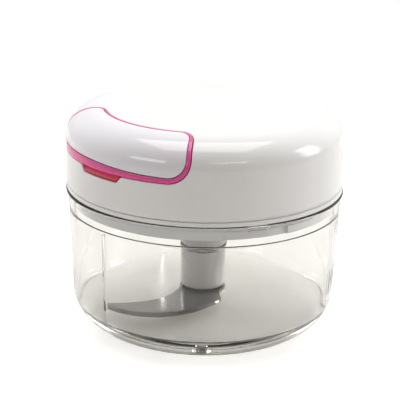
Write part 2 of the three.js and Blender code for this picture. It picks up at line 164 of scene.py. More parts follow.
def turned(name, profile, material, columns=160, shape=None, sharp=32):
    """Surface of revolution. A profile that doesn't start on the axis closes on itself.

    shape(azimuth, radius, height, row) may move a point of the profile in or out.
    """
    azimuths = even_columns(columns) if isinstance(columns, int) else columns
    closed = profile[0][0] > 1e-6
    points, rows = [], []
    for row, (r, z) in enumerate(profile):
        if r < 1e-6:
            rows.append([len(points)] * len(azimuths))
            points.append((0, 0, z))
            continue
        rows.append([len(points) + i for i in range(len(azimuths))])
        for azimuth in azimuths:
            radius = shape(azimuth, r, z, row) if shape else r
            points.append(polar(radius, azimuth, z))
    faces = []
    count = len(azimuths)
    for k in range(len(rows) if closed else len(rows) - 1):
        lower, upper = rows[k], rows[(k + 1) % len(rows)]
        for i in range(count):
            j = (i + 1) % count
            face = list(dict.fromkeys([lower[i], lower[j], upper[j], upper[i]]))
            if len(face) > 2:
                faces.append(face)
    return piece(name, points, faces, material, sharp)


# ------------------------------------------------------------ material helpers


class Paint:
    """A node material with one Principled shader and a few helpers for its procedural detail."""

    def __init__(self, name, color, roughness, metallic=0.0, ior=1.5):
        self.material = bpy.data.materials.new(name)
        self.material.use_nodes = True
        self.nodes = self.material.node_tree.nodes
        self.links = self.material.node_tree.links
        self.shader = self.nodes["Principled BSDF"]
        self.set("Base Color", (*color, 1.0))
        self.set("Roughness", roughness)
        self.set("Metallic", metallic)
        self.set("IOR", ior)
        self.place = self.nodes.new("ShaderNodeTexCoord").outputs["Object"]

    def set(self, socket, value):
        self.shader.inputs[socket].default_value = value

    def stretched(self, scale):
        """Object coordinates scaled along each axis."""
        mapping = self.nodes.new("ShaderNodeMapping")
        mapping.inputs["Scale"].default_value = scale
        self.links.new(self.place, mapping.inputs["Vector"])
        return mapping.outputs["Vector"]

    def noise(self, scale, detail=3.0, where=None):
        node = self.nodes.new("ShaderNodeTexNoise")
        node.inputs["Scale"].default_value = scale
        node.inputs["Detail"].default_value = detail
        self.links.new(where or self.place, node.inputs["Vector"])
        return node.outputs["Fac"]

    def ramp(self, value, low, high, start=0.35, end=0.65):
        """Map a 0-1 value to a range of numbers or colours."""
        if isinstance(low, tuple):
            node = self.nodes.new("ShaderNodeValToRGB")
            node.color_ramp.elements[0].position = start
            node.color_ramp.elements[0].color = (*low, 1)
            node.color_ramp.elements[1].position = end
            node.color_ramp.elements[1].color = (*high, 1)
            self.links.new(value, node.inputs["Fac"])
            return node.outputs["Color"]
        node = self.nodes.new("ShaderNodeMapRange")
        for key, number in (("From Min", start), ("From Max", end), ("To Min", low), ("To Max", high)):
            node.inputs[key].default_value = number
        self.links.new(value, node.inputs["Value"])
        return node.outputs["Result"]

    def math(self, kind, a, b):
        node = self.nodes.new("ShaderNodeMath")
        node.operation = kind
        for slot, value in ((0, a), (1, b)):
            if isinstance(value, (int, float)):
                node.inputs[slot].default_value = value
            else:
                self.links.new(value, node.inputs[slot])
        return node.outputs["Value"]

    def feed(self, socket, value):
        self.links.new(value, self.shader.inputs[socket])

    def bump(self, height, distance, strength=1.0):
        node = self.nodes.new("ShaderNodeBump")
        node.inputs["Distance"].default_value = distance
        node.inputs["Strength"].default_value = strength
        self.links.new(height, node.inputs["Height"])
        self.feed("Normal", node.outputs["Normal"])


def moulded_plastic(name, color, roughness, spread=0.05, grain=0.00002):
    """Glossy moulded plastic: faint orange peel, and gloss that varies with handling."""
    paint = Paint(name, color, roughness, ior=1.49)
    paint.feed("Roughness", paint.ramp(paint.noise(38, 4), roughness - spread, roughness + spread))
    tint = tuple(c * 0.965 for c in color)
    paint.feed("Base Color", paint.ramp(paint.noise(16, 2), tint, color, 0.3, 0.6))
    peel = paint.math("ADD", paint.noise(420, 2), paint.math("MULTIPLY", paint.noise(45, 1), 0.6))
    paint.bump(peel, grain, 0.5)
    return paint


CLEAR_TINT = (0.982, 0.98, 0.972)
MATT_FLOOR_SHADE = (0.8, 0.775, 0.745)


def clear_plastic():
    """Clear moulded styrene that lets lamps through to what it holds, matt on its inner floor, whose
    beige-grey colour is partly painted shade of the lid above.
    """
    paint = Paint("clear_plastic", CLEAR_TINT, 0.0, ior=1.46)
    paint.set("Transmission Weight", 1.0)
    split = paint.nodes.new("ShaderNodeSeparateXYZ")
    paint.links.new(paint.place, split.inputs["Vector"])
    span = paint.nodes.new("ShaderNodeCombineXYZ")
    paint.links.new(split.outputs["X"], span.inputs["X"])
    paint.links.new(split.outputs["Y"], span.inputs["Y"])
    radius = paint.nodes.new("ShaderNodeVectorMath")
    radius.operation = "LENGTH"
    paint.links.new(span.outputs["Vector"], radius.inputs[0])
    scuffed_and_shaded = paint.ramp(radius.outputs["Value"], 1.0, 0.0, 0.0555, 0.0575)
    for low, high in ((0.0093, 0.0103), (0.0117, 0.0113)):
        level = paint.ramp(split.outputs["Z"], 0.0, 1.0, low, high)
        scuffed_and_shaded = paint.math("MULTIPLY", scuffed_and_shaded, level)
    scuff = paint.ramp(paint.noise(500, 2), 0.22, 0.24)
    paint.feed("Roughness", paint.math("MULTIPLY", scuffed_and_shaded, scuff))
    paint.feed("Transmission Weight", paint.ramp(scuffed_and_shaded, 1.0, 0.55))
    # Inner floor colour: frosted plastic, darkened to beige-grey as painted shade of the lid above it.
    paint.feed("Base Color", paint.ramp(scuffed_and_shaded, CLEAR_TINT, MATT_FLOOR_SHADE))
    paint.bump(paint.noise(60, 1), 0.00003, 0.35)
    open_shader = paint.nodes.new("ShaderNodeBsdfTransparent")
    open_shader.inputs["Color"].default_value = (0.93, 0.94, 0.93, 1)
    mix = paint.nodes.new("ShaderNodeMixShader")
    path = paint.nodes.new("ShaderNodeLightPath")
    paint.links.new(path.outputs["Is Shadow Ray"], mix.inputs["Fac"])
    paint.links.new(paint.shader.outputs["BSDF"], mix.inputs[1])
    paint.links.new(open_shader.outputs["BSDF"], mix.inputs[2])
    depth = paint.nodes.new("ShaderNodeVolumeAbsorption")
    depth.inputs["Color"].default_value = (0.5, 0.475, 0.435, 1)
    depth.inputs["Density"].default_value = 8
    output = paint.nodes["Material Output"]
    paint.links.new(depth.outputs["Volume"], output.inputs["Volume"])
    paint.links.new(mix.outputs["Shader"], output.inputs["Surface"])
    return paint.material


def blade_steel_painted_dark():
    """Polished sheet steel with fine straight rolling lines and faint cloudy wear."""
    # Base colour far darker than bare steel: painted dark reflection of the lid's underside and bowl that
    # the blade mirrors.
    paint = Paint("blade_steel_painted_dark", (0.25, 0.242, 0.229), 0.12, metallic=1.0)
    lines = paint.noise(30, 3, paint.stretched((4, 90, 4)))
    paint.feed("Roughness", paint.ramp(lines, 0.07, 0.2, 0.3, 0.7))
    paint.feed("Base Color", paint.ramp(paint.noise(50, 3), (0.22, 0.212, 0.2), (0.28, 0.271, 0.258)))
    paint.bump(lines, 0.000012, 0.4)
    return paint.material


def plain_steel(name, color, roughness):
    """Turned or drawn steel for small hidden metal parts."""
    paint = Paint(name, color, roughness, metallic=1.0)
    lines = paint.noise(240, 3, paint.stretched((1, 1, 12)))
    paint.feed("Roughness", paint.ramp(lines, roughness * 0.7, roughness * 1.4))
    shade = tuple(c * 0.8 for c in color)
    paint.feed("Base Color", paint.ramp(paint.noise(130, 2), shade, color))
    paint.bump(lines, 0.00002, 0.5)
    return paint.material


def satin_plastic(name, color):
    """Natural acetal: satin, slightly waxy, with a fine spark-eroded grain."""
    paint = Paint(name, color, 0.42, ior=1.48)
    paint.set("Subsurface Weight", 0.15)
    paint.set("Subsurface Radius", (0.004, 0.0035, 0.003))
    paint.set("Subsurface Scale", 1.0)
    paint.feed("Roughness", paint.ramp(paint.noise(90, 4), 0.34, 0.52))
    paint.feed("Base Color", paint.ramp(paint.noise(25, 3), tuple(c * 0.93 for c in color), color))
    paint.bump(paint.noise(900, 2), 0.00003, 0.5)
    return paint.material


def seal_rubber():
    """Translucent silicone, matt with a dusty bloom."""
    paint = Paint("seal_silicone", (0.74, 0.75, 0.74), 0.6, ior=1.41)
    paint.set("Subsurface Weight", 0.3)
    paint.set("Subsurface Radius", (0.004, 0.004, 0.004))
    paint.feed("Roughness", paint.ramp(paint.noise(120, 4), 0.5, 0.72))
    paint.feed("Base Color", paint.ramp(paint.noise(60, 3), (0.66, 0.67, 0.66), (0.78, 0.79, 0.78)))
    paint.bump(paint.noise(700, 3), 0.00004, 0.5)
    return paint.material


def braided_cord():
    """White braided nylon: two sets of crossing strands."""
    paint = Paint("braided_nylon", (0.82, 0.8, 0.76), 0.75)
    waves = []
    for turn in (38, -38):
        mapping = paint.nodes.new("ShaderNodeMapping")
        mapping.inputs["Rotation"].default_value = (0, 0, math.radians(turn))
        paint.links.new(paint.place, mapping.inputs["Vector"])
        wave = paint.nodes.new("ShaderNodeTexWave")
        wave.inputs["Scale"].default_value = 420
        wave.inputs["Distortion"].default_value = 0.6
        paint.links.new(mapping.outputs["Vector"], wave.inputs["Vector"])
        waves.append(wave.outputs["Fac"])
    braid = paint.math("MAXIMUM", *waves)
    paint.feed("Base Color", paint.ramp(braid, (0.5, 0.49, 0.46), (0.84, 0.82, 0.79), 0.2, 0.8))
    paint.bump(braid, 0.0003, 0.8)
    return paint.material


WHITE = moulded_plastic("lid_white", (0.82, 0.815, 0.805), 0.17)
WHITE.set("Coat Weight", 0.35)
WHITE.set("Coat Roughness", 0.06)
COVER = moulded_plastic("cover_white", (0.8, 0.785, 0.82), 0.12)
COVER.set("Coat Weight", 0.5)
COVER.set("Coat Roughness", 0.04)
# White hub plastic darkened to grey: painted shade for the shade it sits in under the lid.
HUB = moulded_plastic("hub_white_painted_shade", (0.52, 0.508, 0.495), 0.3)
PINK = moulded_plastic("grip_pink", (0.78, 0.075, 0.32), 0.2)
PINK.set("Subsurface Weight", 0.12)
PINK.set("Subsurface Radius", (0.006, 0.001, 0.002))
PINK.set("Coat Weight", 0.4)
CLEAR = clear_plastic()
BLADE = blade_steel_painted_dark()
STEEL = plain_steel("turned_steel", (0.6, 0.6, 0.59), 0.25)
SPRING = plain_steel("spring_steel", (0.32, 0.33, 0.35), 0.35)
NATURAL = satin_plastic("natural_acetal", (0.78, 0.77, 0.73))
SEAL = seal_rubber()
# Red lip colour stands in for the shaded pink inside the finger scoop: painted shade.
SCOOP = moulded_plastic("scoop_red_painted_shade", (0.8, 0.1, 0.16), 0.25)
NYLON = braided_cord()


# ------------------------------------------------------------ camera

CAMERA_DISTANCE = 0.6
CAMERA_ELEVATION = math.radians(18.3)
CAMERA_ROLL = math.radians(1.03)
CAMERA_LENS = 116.9
CAMERA_AIM = Vector((-1.99 * MM, 0, 56.7 * MM))


def make_camera():
    data = bpy.data.cameras.new("camera")
    data.lens = CAMERA_LENS
    data.sensor_width = 36
    data.clip_start = 0.01
    made = bpy.data.objects.new("camera", data)
    bpy.context.scene.collection.objects.link(made)
    back = Vector((0, -math.cos(CAMERA_ELEVATION), math.sin(CAMERA_ELEVATION)))
    made.matrix_world = (
        Matrix.Translation(CAMERA_AIM + back * CAMERA_DISTANCE)
        @ back.to_track_quat("Z", "Y").to_matrix().to_4x4()
        @ Matrix.Rotation(CAMERA_ROLL, 4, "Z")
    )
    bpy.context.scene.camera = made


make_camera()


# ------------------------------------------------------------ bowl

WALL = 2.2
CORNER_RADIUS = 60.6
CORNER_HEIGHT = 14.5
FOOT_RADIUS = 43.5
RECESS_RADIUS = 39.0
RECESS_DEPTH = 2.5
PIN_HOLE_BOTTOM = 4.5
FLOOR = 11.0
FLOOR_RADIUS = 56.4
FLOOR_CORNER = 14.0
BOSS_RADIUS = 5.5
BOSS_TOP = 11.8
LEDGE = 55.8
LEDGE_DEPTH = 0.6
RIB_AZIMUTHS = (46, 160, 283)
RIB_TOP = 54.0
RIB_HEIGHT = 1.2
RIB_HALF = 0.8
LUG_AZIMUTHS = (-22, 98, 218)
LUG_HALF = 4.3
LUG_RADIUS = 58.8
LUG_HEIGHTS = (62.4, 64.4)


def quarter(r0, z0, r1, z1, steps):
    """Quarter ellipse that leaves (r0, z0) level and reaches (r1, z1) upright."""
    turns = [k / steps * math.pi / 2 for k in range(steps + 1)]
    return [(r0 + (r1 - r0) * math.sin(t), z0 + (z1 - z0) * (1 - math.cos(t))) for t in turns]


def ledge(height):
    """The wall thickens below a small rounded step that the lid's skirt stops short of."""
    return LEDGE_DEPTH * (1 - smoothstep(height, LEDGE - 0.3, LEDGE + 0.3)) * smoothstep(height, 30, 50)


def bowl_profile():
    """Outline from the axis under the floor, round the wall, to the pin's hole; and where it is inside."""
    pin_radius = cad_box("spindle_pin")[1][0] + 0.3
    hollow = [RECESS_RADIUS * k / 12 for k in range(13)]
    outside = [(r, RECESS_DEPTH * (1 - smoothstep(r, 12, RECESS_RADIUS))) for r in hollow]
    outside += [p for p in quarter(FOOT_RADIUS, 0, CORNER_RADIUS + 0.7, CORNER_HEIGHT + 5.5, 26)
                if p[1] < CORNER_HEIGHT]
    outside += [(CORNER_RADIUS, CORNER_HEIGHT)]
    rise = BOWL_TOP - CORNER_HEIGHT
    outside += [
        (CORNER_RADIUS + (RIM_RADIUS - CORNER_RADIUS) * k / 14, CORNER_HEIGHT + (rise - 1.8) * k / 14)
        for k in range(1, 15)
    ]
    bead = (math.radians(a) for a in range(-60, 91, 15))
    outside += [(RIM_RADIUS + 0.25 + 0.75 * math.cos(t), BOWL_TOP - 0.75 + 0.75 * math.sin(t)) for t in bead]
    inner_top = RIM_RADIUS - WALL
    inner_low = CORNER_RADIUS - WALL
    lip = ((0.5, 0), (0.43, 0.25), (0.25, 0.43), (0, 0.5))
    inside = [(inner_top + 0.5 - a, BOWL_TOP - 0.5 + b) for b, a in lip]
    low_lug, high_lug = LUG_HEIGHTS
    heights = [high_lug + 0.15, high_lug, high_lug - 0.15, (low_lug + high_lug) / 2]
    heights += [low_lug + 0.15, low_lug, low_lug - 0.15, 60, 57]
    heights += [LEDGE + d for d in (0.5, 0.3, 0.15, 0, -0.2, -0.5)]
    heights += [RIB_TOP + 0.25, RIB_TOP, RIB_TOP - 0.15]
    heights += list(range(51, 15, -3)) + [15.5]
    slope = (inner_top - inner_low) / (BOWL_TOP - FLOOR_CORNER)
    inside += [(inner_low + (z - FLOOR_CORNER) * slope - ledge(z), z) for z in heights]
    inside += quarter(FLOOR_RADIUS, FLOOR, inner_low, FLOOR_CORNER, 10)[::-1]
    inside += [(r, FLOOR) for r in (46, 38, 28, 18)]
    inside += rounded([(10, FLOOR), (BOSS_RADIUS + 0.4, FLOOR, 0.4), (BOSS_RADIUS, BOSS_TOP, 0.3),
                       (pin_radius, BOSS_TOP, 0.3), (pin_radius, PIN_HOLE_BOTTOM)])
    inside += [(0, PIN_HOLE_BOTTOM)]
    return outside, inside


def bowl_shape(first_inside):
    """Ribs and lugs stand in from the inner wall, which is very slightly uneven."""

    def shape(azimuth, radius, height, row):
        if row < first_inside or radius < 50:
            return radius
        bumps = [0.0]
        if height < RIB_TOP - 0.05:
            for middle in RIB_AZIMUTHS:
                across = math.radians((azimuth - middle + 180) % 360 - 180) * 58
                if abs(across) < RIB_HALF:
                    bumps.append(RIB_HEIGHT * (1 - (across / RIB_HALF) ** 2))
        if LUG_HEIGHTS[0] - 0.05 < height < LUG_HEIGHTS[1] + 0.05:
            for middle in LUG_AZIMUTHS:
                away = abs((azimuth - middle + 180) % 360 - 180)
                if away < LUG_HALF + 0.05:
                    bumps.append(radius - LUG_RADIUS)
        wave = 0.05 * math.sin(math.radians(5 * azimuth))
        wave += 0.04 * math.sin(math.radians(11 * azimuth + 3 * height))
        low = smoothstep(height, FLOOR + 0.5, 20) * (1 - smoothstep(height, 48, 60))
        return radius - max(bumps) + wave * low

    return shape


def build_bowl():
    outside, inside = bowl_profile()
    rib_edges = [m + math.degrees(RIB_HALF * d / 58) for m in RIB_AZIMUTHS
                 for d in (-1.1, -1, -0.7, -0.35, 0, 0.35, 0.7, 1, 1.1)]
    lug_edges = [m + s * (LUG_HALF + d) for m in LUG_AZIMUTHS for s in (-1, 1) for d in (0, 0.25)]
    columns = columns_with(168, rib_edges, lug_edges)
    made = turned("clear_bowl", outside + inside, CLEAR, columns, bowl_shape(len(outside)), sharp=50)
    stand_for(made, "bowl", "clear", "bowl")


build_bowl()


# ------------------------------------------------------------ lid surface

CROWN_RADIUS = 44.2
CROWN_EDGE = 101.5
SHOULDER = 88.1
SHOULDER_POWER = 2.4


def lid_profile():
    """Dense outline of the dome, from its crown to its lower edge."""
    crown = [(r, LID_TOP - (LID_TOP - CROWN_EDGE) * (r / CROWN_RADIUS) ** 2)
             for r in np.linspace(0, CROWN_RADIUS, 40)]
    turns = np.linspace(0, math.pi / 2, 160)[1:]
    shoulder = [
        (CROWN_RADIUS + (LID_RADIUS - CROWN_RADIUS) * math.sin(t) ** (2 / SHOULDER_POWER),
         SHOULDER + (CROWN_EDGE - SHOULDER) * max(math.cos(t), 0) ** (2 / SHOULDER_POWER))
        for t in turns
    ]
    return np.array(crown + shoulder + [(LID_RADIUS, SHELL_BOTTOM)])


PROFILE = lid_profile()
RUN = np.concatenate([[0], np.cumsum(np.hypot(*np.diff(PROFILE, axis=0).T))])
LENGTH = RUN[-1]


def run_at_radius(radius):
    """Distance along the outline, from the crown, where it reaches a radius."""
    return float(np.interp(radius, PROFILE[:, 0], RUN))


def run_at_height(height):
    return float(np.interp(-height, -PROFILE[:, 1], RUN))


def on_lid(azimuth, run, lift=0.0):
    """Point at an azimuth and distance along the outline, lifted off the surface."""
    step = 0.6
    r, z = (float(np.interp(run, RUN, PROFILE[:, k])) for k in (0, 1))
    a = [float(np.interp(run - step, RUN, PROFILE[:, k])) for k in (0, 1)]
    b = [float(np.interp(run + step, RUN, PROFILE[:, k])) for k in (0, 1)]
    if run < step:
        a[0] = -b[0]
        a[1] = b[1]
    along = Vector((b[0] - a[0], b[1] - a[1])).normalized()
    return polar(r - along.y * lift, azimuth, z + along.x * lift)


CORNER_TURNS = range(0, 91, 9)  # degrees round each end corner of the handle


class Outline:
    """Rounded outline round the handle on the lid's surface.

    Each column i is an azimuth with the run of its upper and lower edge; its first and last
    columns are the handle's two ends. Widths shrink it at its ends, inner edge and bottom.
    """

    START, END = 5.6, 86.4
    INNER = run_at_radius(45.5)
    BOTTOM = run_at_height(GRIP_BOTTOM)
    TOP_CORNER, BOTTOM_CORNER = 9.0, 10.0
    SIDE_ROWS = 8

    def __init__(self, ends=0.0, inner=0.0, bottom=0.0, lower_edge=None):
        self.ends, self.inner, self.bottom = ends, inner, bottom
        self.lower_edge = lower_edge or (lambda azimuth: 0.0)

    def columns(self, grow):
        scale = math.degrees(1 / LID_RADIUS)
        ends = self.ends - grow
        start, end = self.START + ends * scale, self.END - ends * scale
        width = (end - start) / scale
        corner = self.BOTTOM_CORNER - ends
        near = [corner * (1 - math.cos(math.radians(a))) for a in CORNER_TURNS]
        middle = corner + (width - 2 * corner) * MIDDLE_STATIONS
        distances = near + list(middle) + [width - d for d in near[::-1]]
        made = []
        for d in distances:
            azimuth = start + d * scale
            edge = min(d, width - d)
            upper = self.INNER + self.inner - grow + self.rise(self.TOP_CORNER - ends, edge)
            lower = self.BOTTOM - self.bottom + grow - self.rise(corner, edge)
            made.append((azimuth, upper, lower + self.lower_edge(azimuth)))
        return made

    @staticmethod
    def rise(radius, distance):
        if distance >= radius:
            return 0.0
        return radius - math.sqrt(radius**2 - (radius - distance) ** 2)

    def loop(self, grow, lift):
        """Closed loop of points: inner edge, left end, lower edge, right end."""
        columns = self.columns(grow)
        upper = [on_lid(a, u, lift) for a, u, _ in columns]
        lower = [on_lid(a, v, lift) for a, _, v in columns]
        return upper + self.side(columns[-1], lift) + lower[::-1] + self.side(columns[0], lift)[::-1]

    def side(self, column, lift):
        azimuth, upper, lower = column
        shares = np.linspace(0, 1, self.SIDE_ROWS + 1)[1:-1]
        return [on_lid(azimuth, upper + (lower - upper) * t, lift) for t in shares]


# Shares of the handle's straight middle, closer together at the edges of the finger scoop.
SCOOP_SPAN = (34.0, 58.0)
CUP_EDGES = (34.6, 34.85, 36.4, 36.6, 55.4, 55.6, 57.15, 57.4)


def middle_stations():
    corner = math.degrees(Outline.BOTTOM_CORNER / LID_RADIUS)
    low, high = Outline.START + corner, Outline.END - corner
    even = [low + (high - low) * k / 24 for k in range(1, 24)]
    edges = [SCOOP_SPAN[0] - 0.4 + 0.4 * k for k in range(9)]
    edges += [SCOOP_SPAN[1] + 0.4 - 0.4 * k for k in range(9)]
    wanted = sorted(set(edges) | set(CUP_EDGES))
    kept = [a for a in even if all(abs(a - w) > 0.8 for w in wanted)]
    return np.array([(a - low) / (high - low) for a in sorted(kept + wanted)])


MIDDLE_STATIONS = middle_stations()


def bridge(loop_a, loop_b):
    """Faces between two closed loops of vertex numbers."""
    count = len(loop_a)
    return [[loop_a[i], loop_a[(i + 1) % count], loop_b[(i + 1) % count], loop_b[i]] for i in range(count)]


class Sheet:
    """Collects vertices and faces of one mesh."""

    def __init__(self):
        self.points, self.faces = [], []

    def add(self, points):
        first = len(self.points)
        self.points += points
        return list(range(first, first + len(points)))

    def grid(self, rows):
        for a, b in zip(rows, rows[1:]):
            for i in range(len(a) - 1):
                self.faces.append([a[i], a[i + 1], b[i + 1], b[i]])


EDGE = 0.45  # radius of the rounded edges round the pocket and handle
SCOOP_DEPTH = 3.0


def scoop_dip(azimuth):
    """How far the pocket's lower edge dips for the finger scoop."""
    return SCOOP_DEPTH * smoothstep(azimuth, SCOOP_SPAN[0] - 0.4, SCOOP_SPAN[0] + 2.8) * (
        1 - smoothstep(azimuth, SCOOP_SPAN[1] - 2.8, SCOOP_SPAN[1] + 0.4))


def fillet_loops(sheet, outline, grow, lift, direction, steps=4):
    """Quarter-round edge: from the surface at one loop, turning down at the next."""
    loops = []
    for k in range(1, steps + 1):
        turn = k / steps * math.pi / 2
        out = direction * EDGE * math.sin(turn)
        loops.append(sheet.add(outline.loop(grow + out, lift - EDGE * (1 - math.cos(turn)))))
    return loops


def seat_rows(sheet, outline, grow, columns_depth, upper_loop, lower_loop):
    """Back wall and floor of the handle's seat, from its upper edge down and out to its lower edge.

    columns_depth(azimuth, radius) is the floor's height above the outline's own bottom.
    """
    columns = outline.columns(grow)
    radii = np.array([0, 0.4, 1.2, 2.6, 3.4, 3.8, 4.2, 5.3, 5.5, 8, 10.5, 11.8, 12.1, 14, 16])
    rows = [upper_loop]
    shapes = []
    for azimuth, upper, lower in columns:
        top = Vector(on_lid(azimuth, upper, -EDGE))
        r_in = math.hypot(top.x, top.y)
        low = on_lid(azimuth, lower, -EDGE)
        floor = low[2]
        path = [(r_in, top.z + (floor - top.z) * t) for t in (0.3, 0.6, 0.85)]
        outer = math.hypot(low[0], low[1])
        for offset in radii:
            r = r_in + offset if offset < 3 else max(r_in + 3, 45.5 + offset)
            if r < outer - 0.4:
                path.append((r, floor + columns_depth(azimuth, r)))
            else:
                path.append((outer - 0.4 + 0.02 * offset, floor))
        shapes.append([polar(r, azimuth, z) for r, z in path])
    for k in range(len(shapes[0])):
        rows.append(sheet.add([shape[k] for shape in shapes]))
    rows.append(lower_loop)
    sheet.grid(rows)
    return rows


def loop_sides(outline, loop):
    """Split a loop into upper edge, left end, lower edge and right end, each in column order."""
    count = len(MIDDLE_STATIONS) + 2 * len(CORNER_TURNS)
    side = outline.SIDE_ROWS - 1
    upper = loop[:count]
    left = loop[count:count + side]
    lower = loop[count + side:2 * count + side][::-1]
    right = loop[2 * count + side:][::-1]
    return upper, left, lower, right


def close_ends(sheet, rows, outline, loop):
    """Flat end walls between the seat's first and last columns and the loop's ends."""
    _, left, _, right = loop_sides(outline, loop)
    sheet.faces.append([row[0] for row in rows] + right[::-1])
    sheet.faces.append([row[-1] for row in rows] + left[::-1])


def build_lid_shell():
    """The dome in one skin with the handle's pocket, given a wall thickness."""
    sheet = Sheet()
    pocket = Outline(lower_edge=scoop_dip)
    grow = GAP + EDGE
    hole = pocket.columns(grow)
    first, last = hole[0], hole[-1]
    others = np.linspace(last[0], first[0] + 360, 150)[1:-1]
    columns = [(a, u, v, True) for a, u, v in hole] + [(a, first[1], first[2], False) for a in others]
    top_rows, bottom_rows = 34, 12
    side = np.linspace(0, 1, pocket.SIDE_ROWS + 1)[1:-1]
    pole = sheet.add([on_lid(0, 0)])[0]
    rows = []
    for k in range(1, top_rows + 1):
        rows.append([on_lid(a, u * (k / top_rows) ** 0.9) for a, u, _, _ in columns])
    middle = [[None if inside and a not in (first[0], last[0]) else on_lid(a, u + (v - u) * t)
               for a, u, v, inside in columns] for t in side]
    rows += middle
    for k in range(bottom_rows + 1):
        rows.append([on_lid(a, v + (LENGTH - v) * k / bottom_rows) for a, _, v, _ in columns])
    numbers = []
    for row in rows:
        numbers.append([None if p is None else sheet.add([p])[0] for p in row])
    count = len(columns)
    for i in range(count):
        sheet.faces.append([pole, numbers[0][i], numbers[0][(i + 1) % count]])
    for a, b in zip(numbers, numbers[1:]):
        for i in range(count):
            j = (i + 1) % count
            hole_face = columns[i][3] and columns[j][3] and j > i
            if hole_face and rows_in_hole(numbers, a, top_rows, len(middle)):
                continue
            face = [a[i], a[j], b[j], b[i]]
            if None not in face:
                sheet.faces.append(face)
    n = len(hole)
    border = numbers[top_rows - 1][:n]
    border += [numbers[top_rows + k][n - 1] for k in range(len(middle))]
    border += numbers[top_rows + len(middle)][:n][::-1]
    border += [numbers[top_rows + k][0] for k in range(len(middle))][::-1]
    loops = [border] + fillet_loops(sheet, pocket, grow, 0, -1)
    for a, b in zip(loops, loops[1:]):
        sheet.faces += bridge(a, b)
    upper, _, lower, _ = loop_sides(pocket, loops[-1])

    def floor(azimuth, radius):
        return scoop_dip(azimuth) * (1 - smoothstep(radius, 48.6, 49.6))

    seat = seat_rows(sheet, pocket, GAP, floor, upper, lower)
    close_ends(sheet, seat, pocket, loops[-1])
    made = piece("lid_dome", sheet.points, sheet.faces, WHITE.material, sharp=40)
    wall = made.modifiers.new("wall", "SOLIDIFY")
    wall.thickness = 1.5 * MM
    wall.offset = -1
    stand_for(made, "lid", "white", "lid_shell")


def rows_in_hole(numbers, row, top_rows, middle_rows):
    """True if the faces below this row lie across the pocket."""
    k = next(i for i, r in enumerate(numbers) if r is row)
    return top_rows - 1 <= k < top_rows + middle_rows


build_lid_shell()


# ------------------------------------------------------------ pull handle

RIM_ENDS, RIM_INNER, RIM_BOTTOM = 2.0, 1.0, 2.3


def rim_lower_edge(azimuth):
    """The coloured rim below the cover widens towards the left."""
    return -1.7 * smoothstep(azimuth, 15, 60)


def cup_height(azimuth, radius):
    """Underside of the grip: a cup for the fingers with walls that reach down into the scoop."""
    in_cup = 50.9 < radius < 57.4 and 36.5 < azimuth < 55.5
    in_wall = 49.7 < radius < 57.4 and 34.7 < azimuth < 57.3
    if in_cup:
        return 9.0
    return -2.4 if in_wall else 0.0


def cover_outline():
    return Outline(RIM_ENDS, RIM_INNER, RIM_BOTTOM, rim_lower_edge)


def build_grip():
    sheet = Sheet()
    outer, inner = Outline(), cover_outline()
    groove = 0.3
    loops = [sheet.add(outer.loop(-EDGE, 0))]
    down = fillet_loops(sheet, outer, -EDGE, 0, 1)
    for a, b in zip([loops[0]] + down, down):
        sheet.faces += bridge(a, b)
    upper, _, lower, _ = loop_sides(outer, down[-1])
    seat = seat_rows(sheet, outer, 0, cup_height, upper, lower)
    close_ends(sheet, seat, outer, down[-1])
    inward = [sheet.add(inner.loop(groove + 0.25, 0)), sheet.add(inner.loop(groove, -0.2)),
              sheet.add(inner.loop(groove, -2.0)), sheet.add(inner.loop(-1.5, -2.0))]
    for a, b in zip(loops + inward, inward):
        sheet.faces += bridge(a, b)
    upper, left, lower, right = loop_sides(inner, inward[-1])
    fill_inside(sheet, inner, -1.5, -2.0, upper, left, lower, right)
    made = piece("handle_grip_pink", sheet.points, sheet.faces, PINK.material, sharp=40)
    stand_for(made, "handle", "pink", "handle_grip")


def fill_inside(sheet, outline, grow, lift, upper, left, lower, right):
    """Grid over the area inside a loop, at an even lift."""
    columns = outline.columns(grow)
    shares = np.linspace(0, 1, outline.SIDE_ROWS + 1)[1:-1]
    rows = [upper]
    for k, t in enumerate(shares):
        inside = [on_lid(a, u + (v - u) * t, lift) for a, u, v in columns[1:-1]]
        rows.append([right[k]] + sheet.add(inside) + [left[k]])
    rows.append(lower)
    sheet.grid(rows)


def build_cover():
    """White shell in the pink tray, with a soft rounded edge all round."""
    sheet = Sheet()
    outline = cover_outline()
    top = sheet.add(outline.loop(-EDGE, 0.0))
    down = fillet_loops(sheet, outline, -EDGE, 0.0, 1)
    skirt = [sheet.add(outline.loop(0, -1.7)), sheet.add(outline.loop(-1.2, -1.7))]
    for a, b in zip([top] + down + skirt, down + skirt):
        sheet.faces += bridge(a, b)
    fill_inside(sheet, outline, -EDGE, 0.0, *loop_sides(outline, top))
    fill_inside(sheet, outline, -1.2, -1.7, *loop_sides(outline, skirt[-1]))
    made = piece("handle_cover_white", sheet.points, sheet.faces, COVER.material, sharp=50)
    stand_for(made, "handle", "cover", "handle_cover")


LIP_DEPTH = 1.2  # the scoop is too shallow for the lip nearer its ends


